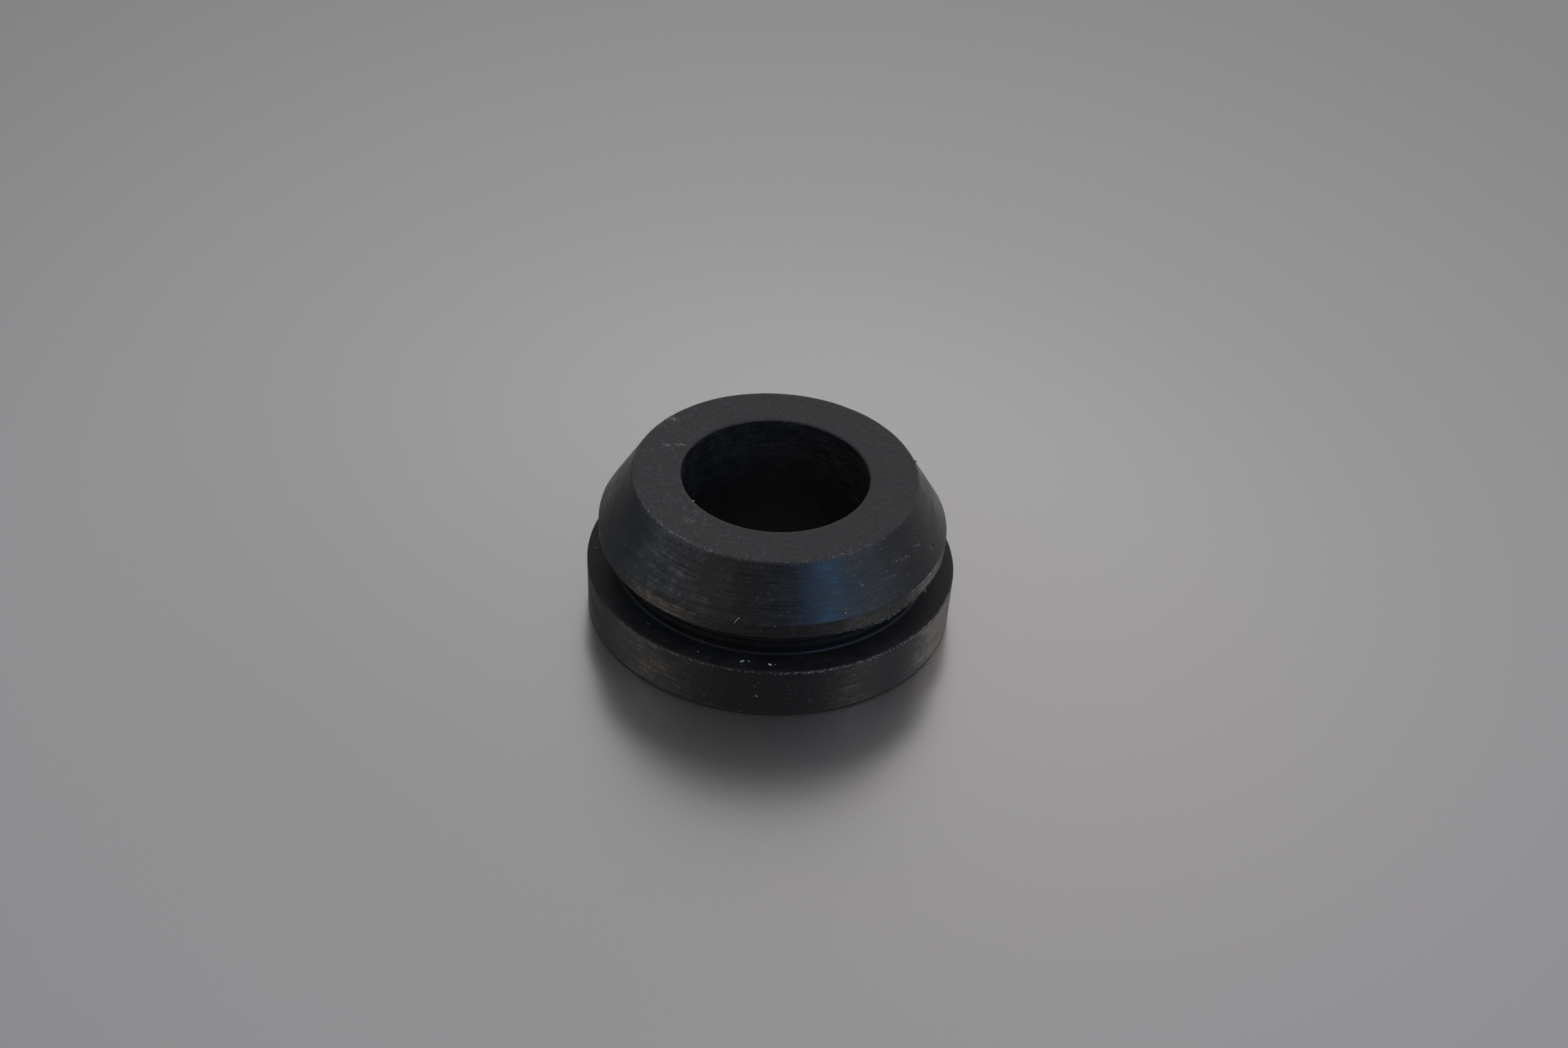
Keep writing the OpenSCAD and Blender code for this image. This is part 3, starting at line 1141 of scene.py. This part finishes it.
class GROMMET_OT_stage(bpy.types.Operator):
    """Set up the pale floor, the soft light and the camera at the photograph's angle"""

    bl_idname = "grommet.stage"
    bl_label = "Stage"

    def execute(self, context):
        stage = context.scene.grommet_stage
        floor = self.floor(stage)
        self.world(context.scene)
        self.window(floor)
        self.camera(context.scene, stage)
        context.scene.view_settings.view_transform = "Standard"
        return {"FINISHED"}

    def floor(self, stage):
        """A wide plain floor, satin near the part and more matte away from it; its colour darkens away from
        the part as a painted falloff of light.
        """
        floor = start_piece("floor", bpy.ops.mesh.primitive_plane_add, size=FLOOR_WIDTH)
        bpy.ops.transform.translate(value=(0, 0, -FLOOR_DROP))
        bpy.ops.object.transform_apply(location=True, rotation=False, scale=False)
        material, g = new_material("pale_floor")
        away = g.add("ShaderNodeVectorMath", {0: g.millimetres()}, operation="LENGTH").outputs["Value"]
        # Painted shade: the floor's colour darkens away from the part, as a falloff of light
        dimmed = rgba(DIMMED_SHARE * c for c in stage.floor)
        g.surface(
            {
                "Base Color": g.mix(g.ramp(away, DIMMING_START, DIMMING_END), rgba(stage.floor), dimmed),
                "Metallic": g.ramp(away, SHEEN_START, SHEEN_END, SHEEN_NEAR, SHEEN_FAR),
                "Roughness": stage.floor_roughness,
                "Specular IOR Level": 0.0,
            }
        )
        floor.data.materials.append(material)
        return floor

    def world(self, scene):
        """Soft light from all round, the sum of a few broad glows."""
        world = bpy.data.worlds.new("soft_light")
        scene.world = world
        world.use_nodes = True
        g = Graph(world.node_tree)
        ray = g.add("ShaderNodeTexCoord").outputs["Generated"]
        light = (0.0, 0.0, 0.0)
        for glow in GLOWS.values():
            ends = {0: ray, 1: way_to(glow.azimuth, glow.elevation)}
            facing = g.add("ShaderNodeVectorMath", ends, operation="DOT_PRODUCT").outputs["Value"]
            strength = g.math("EXPONENT", g.math("MULTIPLY_ADD", facing, glow.sharpness, -glow.sharpness))
            shine = g.add("ShaderNodeVectorMath", {0: glow.colour, "Scale": strength}, operation="SCALE")
            light = g.vector("ADD", light, shine.outputs[0])
        background = g.add("ShaderNodeBackground", {"Color": light, "Strength": 1.0})
        g.add("ShaderNodeOutputWorld", {0: background.outputs[0]})

    def window(self, floor):
        """A cool lamp that lights all but the floor, which so stays plain."""
        towards = way_to(WINDOW_AZIMUTH, WINDOW_ELEVATION)
        bpy.ops.object.light_add(
            type="AREA",
            location=towards * WINDOW_DISTANCE,
            rotation=towards.to_track_quat("Z", "Y").to_euler(),
        )
        lamp = bpy.context.object
        lamp.data.shape = "DISK"
        lamp.data.size = WINDOW_WIDTH
        lamp.data.color = WINDOW_COLOUR
        lamp.data.energy = WINDOW_WATTS
        lamp.visible_camera = False
        unlit = bpy.data.collections.new("unlit_by_window")
        unlit.objects.link(floor)
        unlit.collection_objects[0].light_linking.link_state = "EXCLUDE"
        lamp.light_linking.receiver_collection = unlit

    def camera(self, scene, stage):
        """The camera looks along +Y and down, with the part's origin on its pixel of the photograph."""
        ahead = Vector((0, math.cos(stage.pitch), -math.sin(stage.pitch)))
        lean = Matrix.Rotation(-stage.roll, 3, ahead)
        right = lean @ Vector((1, 0, 0))
        up = lean @ Vector((0, math.sin(stage.pitch), math.cos(stage.pitch)))
        focal = stage.lens * PHOTO_W / SENSOR_W
        aside = (stage.origin_u - PHOTO_W / 2) / focal * stage.distance
        above = (PHOTO_H / 2 - stage.origin_v) / focal * stage.distance
        bpy.ops.object.camera_add(
            location=-aside * right - above * up - stage.distance * ahead,
            rotation=Matrix((right, up, -ahead)).transposed().to_euler(),
        )
        camera = bpy.context.object
        camera.data.sensor_fit = "HORIZONTAL"
        camera.data.sensor_width = SENSOR_W
        camera.data.lens = stage.lens
        camera.data.clip_start = 10 * MM
        scene.camera = camera


class GROMMET_PT_tools(bpy.types.Panel):
    """The steps in order, and the values that they read"""

    bl_label = "Grommet"
    bl_idname = "GROMMET_PT_tools"
    bl_space_type = "VIEW_3D"
    bl_region_type = "UI"
    bl_category = "Grommet"

    def draw(self, context):
        for operator in OPERATORS:
            self.layout.operator(operator.bl_idname)
        for name in GROUPS:
            group = getattr(context.scene, name)
            box = self.layout.box()
            for value in group.__annotations__:
                box.prop(group, value)


GROUPS = {"grommet_sizes": GrommetSizes, "grommet_finish": GrommetFinish, "grommet_stage": GrommetStage}
OPERATORS = (GROMMET_OT_ring, GROMMET_OT_flash, GROMMET_OT_lint, GROMMET_OT_stage)


def register():
    for cls in (*GROUPS.values(), *OPERATORS, GROMMET_PT_tools):
        bpy.utils.register_class(cls)
    for name, group in GROUPS.items():
        setattr(bpy.types.Scene, name, PointerProperty(type=group))


def unregister():
    for name in GROUPS:
        delattr(bpy.types.Scene, name)
    for cls in (GROMMET_PT_tools, *reversed(OPERATORS), *reversed(tuple(GROUPS.values()))):
        bpy.utils.unregister_class(cls)


def main():
    register()
    bpy.ops.grommet.ring()
    bpy.ops.grommet.flash()
    bpy.ops.grommet.lint()
    bpy.ops.grommet.stage()


if __name__ == "__main__":
    main()
